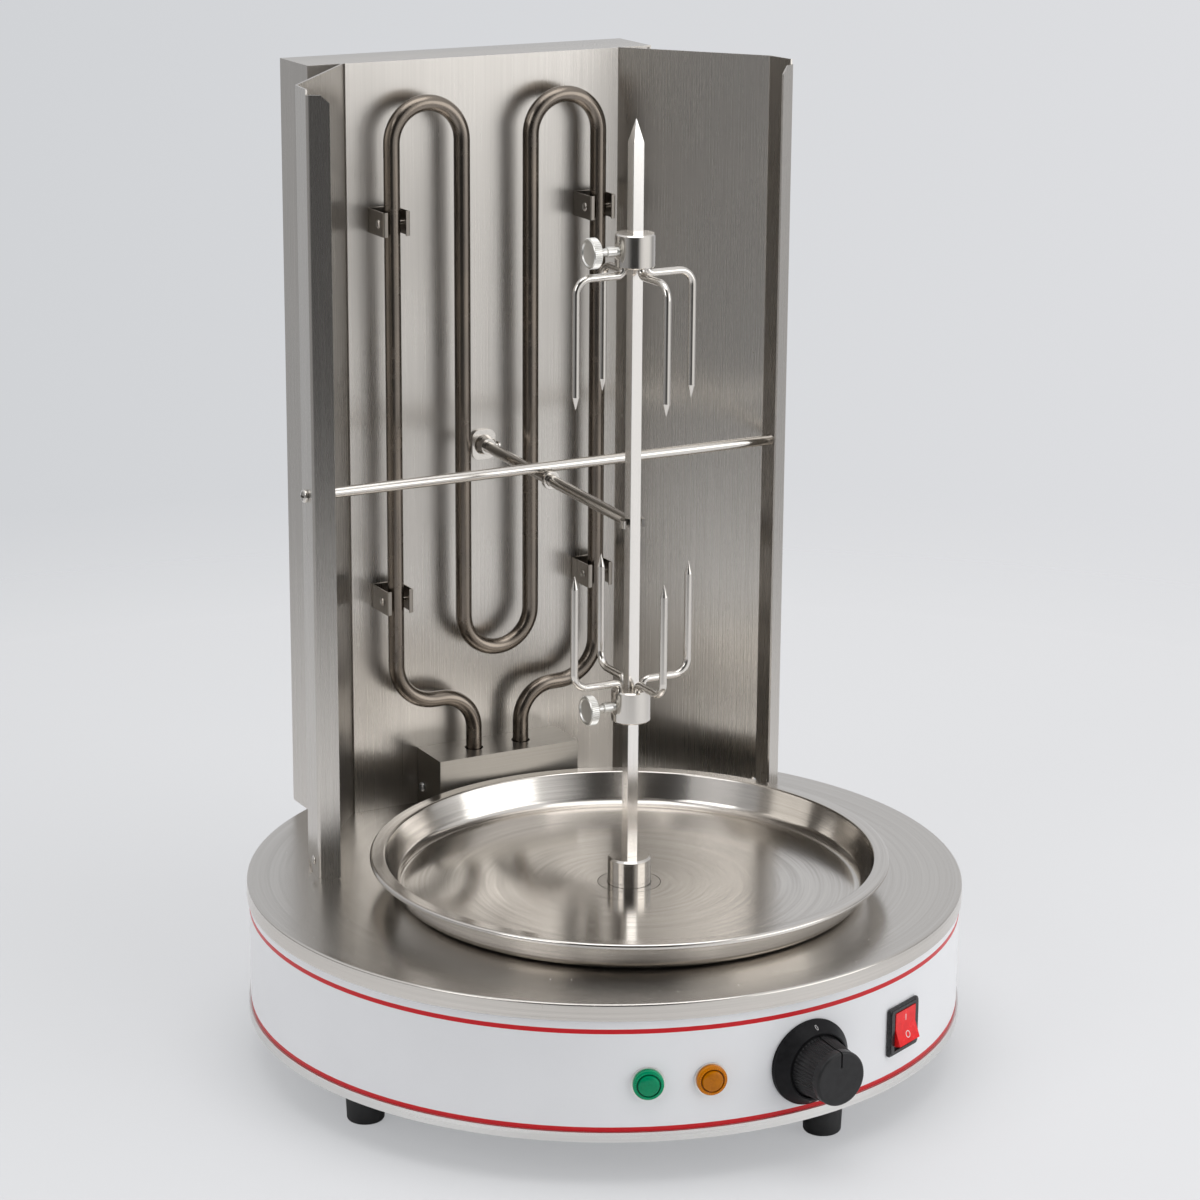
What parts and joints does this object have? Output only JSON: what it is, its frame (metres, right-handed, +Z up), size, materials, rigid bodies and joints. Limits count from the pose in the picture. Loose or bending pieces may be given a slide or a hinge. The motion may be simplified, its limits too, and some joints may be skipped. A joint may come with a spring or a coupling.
{
  "type": "vertical rotisserie grill",
  "caption": "Electric vertical rotisserie grill: round base with controls, motor driven square spit with forks, drip pan and a standing heating element in a folded reflector.",
  "frame": {"origin": "on the surface the grill stands on, at the centre of its bounding box seen from above", "axes": "+Z up, -Y to the front where the controls are, +X to the right seen from the front"},
  "size_m": [0.4325, 0.4784, 0.582],
  "materials": {
    "white_enamel": "gloss",
    "brushed_stainless": "brushed",
    "pan_stainless": "circular brushed",
    "polished_stainless": "polished",
    "zinc": "satin",
    "motor_zinc": "satin",
    "bearing_bronze": "satin",
    "element_steel": "satin, heat tinted",
    "ceramic": "matte",
    "foot_rubber": "matte",
    "black_plastic": "satin",
    "grey_plastic": "matte",
    "red_plastic": "gloss",
    "green_lens": "gloss, translucent",
    "amber_lens": "gloss, translucent"
  },
  "bodies": {
    "housing": {"base_band": "white_enamel", "top_plate": "brushed_stainless", "bottom_plate": "brushed_stainless", "base_screws": "zinc", "foot_1": "foot_rubber", "foot_2": "foot_rubber", "foot_3": "foot_rubber", "foot_4": "foot_rubber", "foot_screws": "zinc", "gearmotor": "motor_zinc", "motor_bracket": "zinc", "motor_screws": "zinc", "bracket_nuts": "zinc", "spindle_bearing": "bearing_bronze", "bearing_screws": "zinc", "back_box": "brushed_stainless", "reflector_panel": "brushed_stainless", "left_wing": "brushed_stainless", "right_wing": "brushed_stainless", "wing_rivets": "polished_stainless", "tower_screws": "zinc", "heating_element": "element_steel", "element_pins": "ceramic", "element_clip_1": "brushed_stainless", "element_clip_2": "brushed_stainless", "element_clip_3": "brushed_stainless", "element_clip_4": "brushed_stainless", "clip_rivets": "polished_stainless", "terminal_box": "brushed_stainless", "terminal_box_screws": "zinc", "terminal_block": "ceramic", "wire_grommet": "foot_rubber", "cross_rod": "polished_stainless", "cross_rod_screws": "polished_stainless", "guide_arm": "polished_stainless", "arm_escutcheon": "polished_stainless", "arm_set_screw": "polished_stainless", "arm_ferrule": "polished_stainless", "thermostat_dial": "black_plastic", "thermostat_body": "grey_plastic", "green_lens": "green_lens", "green_lamp_body": "grey_plastic", "amber_lens": "amber_lens", "amber_lamp_body": "grey_plastic", "lamp_nuts": "grey_plastic", "switch_housing": "black_plastic", "cable_gland": "black_plastic", "gland_nut": "black_plastic"},
    "spindle": {"spit_socket": "polished_stainless", "drive_shaft": "polished_stainless", "shaft_pin": "polished_stainless"},
    "spit": {"spit": "polished_stainless"},
    "upper_fork": {"upper_fork": "polished_stainless"},
    "lower_fork": {"lower_fork": "polished_stainless"},
    "upper_thumb_screw": {"upper_thumb_screw": "polished_stainless"},
    "lower_thumb_screw": {"lower_thumb_screw": "polished_stainless"},
    "drip_pan": {"drip_pan": "pan_stainless"},
    "thermostat_knob": {"thermostat_knob": "black_plastic", "thermostat_shaft": "bearing_bronze"},
    "rocker": {"rocker": "red_plastic"}
  },
  "joints": [
    {"name": "spindle_turn", "type": "hinge", "parent": "housing", "child": "spindle", "pos_m": [0, -0.02474, 0.109], "axis": [0, 0, 1], "continuous": true},
    {"name": "spit_lift", "type": "slide", "parent": "spindle", "child": "spit", "axis": [0, 0, 1], "range_m": [0, 0.017]},
    {"name": "upper_fork_slide", "type": "slide", "parent": "spit", "child": "upper_fork", "axis": [0, 0, 1], "range_m": [-0.05, 0.045]},
    {"name": "lower_fork_slide", "type": "slide", "parent": "spit", "child": "lower_fork", "axis": [0, 0, 1], "range_m": [-0.075, 0.005]},
    {"name": "upper_thumb_screw_turn", "type": "hinge", "parent": "upper_fork", "child": "upper_thumb_screw", "pos_m": [-0.02, -0.02474, 0.4932], "axis": [-1, 0, 0], "range_deg": [0, 720]},
    {"name": "lower_thumb_screw_turn", "type": "hinge", "parent": "lower_fork", "child": "lower_thumb_screw", "pos_m": [-0.02, -0.02474, 0.2219], "axis": [-1, 0, 0], "range_deg": [0, 720]},
    {"name": "drip_pan_lift", "type": "slide", "parent": "housing", "child": "drip_pan", "axis": [0, 0, 1], "range_m": [0, 0.05]},
    {"name": "thermostat_turn", "type": "hinge", "parent": "housing", "child": "thermostat_knob", "pos_m": [0.0157, -0.21819, 0.0615], "axis": [0.0698, -0.9976, 0], "range_deg": [-270, 0]},
    {"name": "rocker_tip", "type": "hinge", "parent": "housing", "child": "rocker", "pos_m": [0.08649, -0.1862, 0.0615], "axis": [0.9121, 0.4099, 0], "range_deg": [0, 20]}
  ]
}
